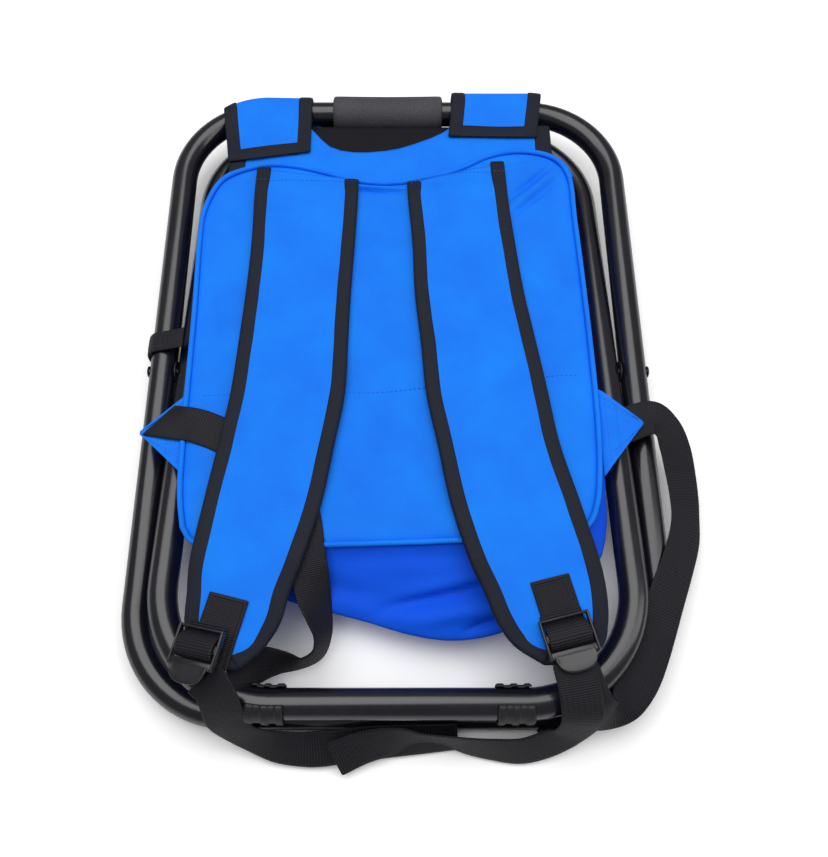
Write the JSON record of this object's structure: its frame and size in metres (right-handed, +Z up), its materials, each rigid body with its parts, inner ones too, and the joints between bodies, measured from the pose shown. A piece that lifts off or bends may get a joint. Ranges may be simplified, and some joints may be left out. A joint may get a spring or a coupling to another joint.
{
  "type": "folding cooler stool",
  "caption": "Folding camp stool of two nested tube loops with a cloth seat and a zipped insulated bag that carries as a backpack.",
  "frame": {"origin": "on the floor under the middle of the pivot line, on the underside of the bag front, with the stool folded", "axes": "+X to the right of the picture, +Y towards the bar with the foam grip, +Z up from the floor through the folded stool"},
  "size_m": [0.3946, 0.5219, 0.0687],
  "materials": {
    "painted_tube": "gloss black powder coat",
    "rivet_steel": "blackened steel",
    "nylon_washer": "matt",
    "grip_foam": "matt foam rubber",
    "black_rubber": "matt",
    "blue_cloth": "plain woven polyester",
    "black_cloth": "plain woven polyester",
    "black_webbing": "ribbed webbing",
    "black_plastic": "satin gloss",
    "white_foam": "closed-cell foam sheet",
    "silver_liner": "metallised film",
    "hook_tape": "hook-and-loop tape"
  },
  "bodies": {
    "outer_frame": {"outer_frame_tube": "painted_tube", "foam_grip": "grip_foam", "outer_foot_left": "black_rubber", "outer_foot_right": "black_rubber", "pivot_rivet_left": "rivet_steel", "pivot_rivet_right": "rivet_steel", "pivot_washer_left": "nylon_washer", "pivot_washer_right": "nylon_washer", "back_flap_left": "blue_cloth", "back_flap_right": "blue_cloth", "seat_cloth": "black_cloth"},
    "inner_frame": {"inner_frame_tube": "painted_tube", "inner_foot_left": "black_rubber", "inner_foot_right": "black_rubber", "front_flap_left": "blue_cloth", "front_flap_right": "blue_cloth"},
    "bag_back": {"back_panel": "blue_cloth", "back_piping": "blue_cloth", "back_yoke": "blue_cloth", "back_insulation": "white_foam", "back_liner": "silver_liner", "back_hook_pad_left": "hook_tape", "back_hook_pad_right": "hook_tape", "shoulder_strap_left": "blue_cloth", "shoulder_strap_right": "blue_cloth", "webbing_tab_left": "blue_cloth", "webbing_tab_right": "blue_cloth", "strap_patch_left": "black_webbing", "strap_patch_right": "black_webbing", "ladder_lock_left": "black_plastic", "ladder_lock_right": "black_plastic", "lower_webbing_left": "black_webbing", "lower_webbing_right": "black_webbing", "webbing_tail_left": "black_webbing", "webbing_tail_right": "black_webbing", "tie_strap": "black_webbing"},
    "bag_middle": {"side_gusset_left": "blue_cloth", "side_gusset_right": "blue_cloth", "bottom_gusset": "blue_cloth", "bag_lid": "blue_cloth", "zip_tape": "black_webbing"},
    "bag_front": {"front_panel": "blue_cloth", "front_insulation": "white_foam", "front_liner": "silver_liner", "front_yoke": "blue_cloth", "front_hook_pad_left": "hook_tape", "front_hook_pad_right": "hook_tape"},
    "zip_runner": {"zip_slider": "black_plastic", "zip_pull": "black_plastic"}
  },
  "joints": [
    {"name": "fold", "type": "hinge", "parent": "outer_frame", "child": "inner_frame", "pos_m": [0, 0, 0.02348], "axis": [-1, 0, 0], "range_deg": [0, 60], "deforming": ["seat_cloth", "front_flap_left", "front_flap_right"]},
    {"name": "back_hang", "type": "hinge", "parent": "outer_frame", "child": "bag_back", "pos_m": [0, 0.23372, 0.03496], "axis": [-1, 0, 0], "range_deg": [0, 30], "deforming": ["back_flap_left", "back_flap_right", "lower_webbing_left"]},
    {"name": "middle_spread", "type": "slide", "parent": "bag_back", "child": "bag_middle", "axis": [0, 0.386, -0.9225], "range_m": [0, 0.1245], "deforming": ["side_gusset_left", "side_gusset_right", "bottom_gusset", "bag_lid"]},
    {"name": "front_spread", "type": "slide", "parent": "bag_middle", "child": "bag_front", "axis": [0, -0.386, -0.9225], "range_m": [0, 0.1245]},
    {"name": "zip", "type": "slide", "parent": "bag_middle", "child": "zip_runner", "axis": [1, 0, 0], "range_m": [0, 0.226]}
  ],
  "couplings": [
    {"joint": "back_hang", "follows": "fold", "ratio": 0.5},
    {"joint": "middle_spread", "follows": "fold", "m_per_rad": 0.1188},
    {"joint": "front_spread", "follows": "fold", "m_per_rad": 0.1188}
  ]
}
